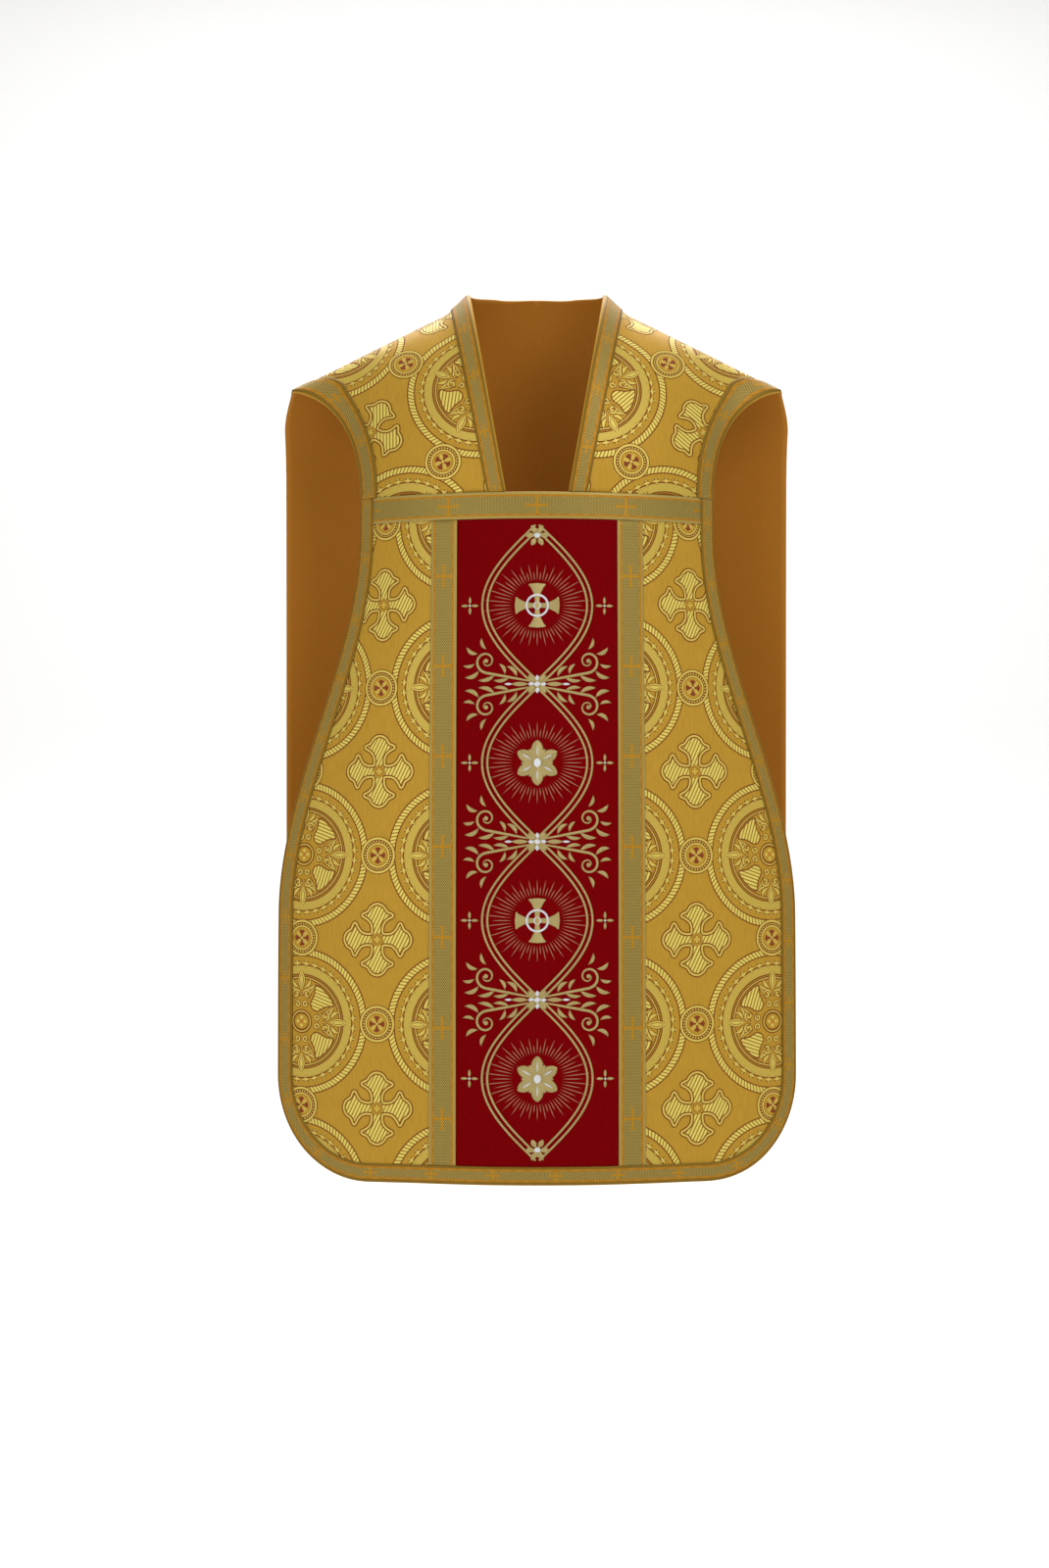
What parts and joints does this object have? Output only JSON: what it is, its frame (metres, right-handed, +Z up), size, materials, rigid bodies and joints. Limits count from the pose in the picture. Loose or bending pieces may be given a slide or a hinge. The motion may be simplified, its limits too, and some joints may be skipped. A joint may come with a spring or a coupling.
{
  "type": "roman chasuble",
  "caption": "Worn roman chasuble of gold damask: fiddle-shaped front, straight back over the shoulders, red embroidered orphrey and woven braids. Hollow, open at neck, sides and hem.",
  "frame": {"origin": "middle of the neck opening, level with the tops of the shoulders, where the wearer carries the garment", "axes": "+Z up, the front faces -Y, +X is on the right as seen from in front"},
  "size_m": [0.6408, 0.3394, 1.1149],
  "materials": {
    "damask": "satin-woven damask, ochre ground with raised light-gold figures outlined in brown",
    "lining": "plain orange-brown lining cloth with a soft sheen",
    "red_cloth": "deep red cloth, matt, with pale gold and silver machine embroidery",
    "braid": "woven gallon braid, pale metallic mesh between ochre lines"
  },
  "bodies": {
    "root": {"front_panel": "damask", "back_panel": "damask", "back_lining": "lining", "front_orphrey": "red_cloth", "orphrey_braid_left": "braid", "orphrey_braid_right": "braid", "chest_braid": "braid", "neck_braid": "braid", "edge_braid_front": "braid", "edge_braid_back": "braid"}
  },
  "joints": []
}
